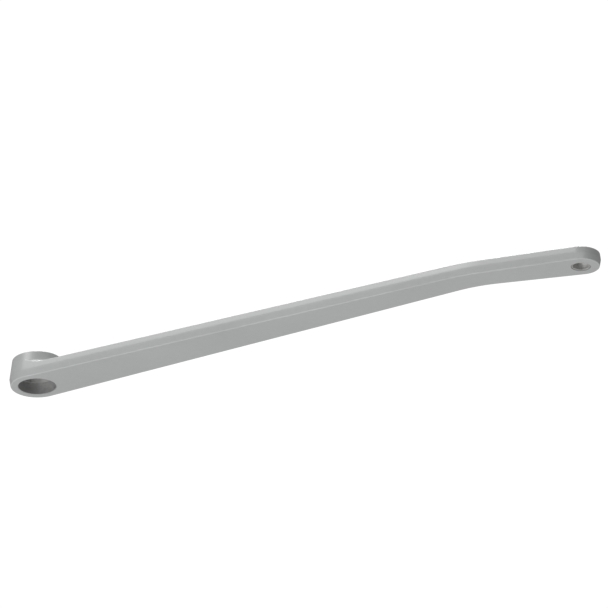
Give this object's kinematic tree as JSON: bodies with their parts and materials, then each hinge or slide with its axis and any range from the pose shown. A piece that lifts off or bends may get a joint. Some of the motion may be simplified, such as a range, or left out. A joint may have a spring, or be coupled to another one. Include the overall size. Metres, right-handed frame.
{
  "type": "gate opener arm",
  "caption": "Cranked die-cast lever with a tall bushed hub at one end and a flat bushed eye at the other, for a swing gate opener.",
  "frame": {"origin": "on the hub axis, in the plane of the flat underside", "axes": "+X from the hub axis to the eye axis, +Z along the hub axis towards the taller hub ring, +Y to the inner side of the bend"},
  "size_m": [0.4959, 0.0489, 0.021],
  "materials": {
    "casting": "satin light grey powder coat on die-cast aluminium",
    "hub_bush": "steel-backed plain bush with a dark grey sliding layer",
    "eye_bush": "steel-backed plain bush with a grey sliding layer"
  },
  "bodies": {
    "root": {"lever": "casting", "hub_bush": "hub_bush", "eye_bush": "eye_bush"}
  },
  "joints": []
}
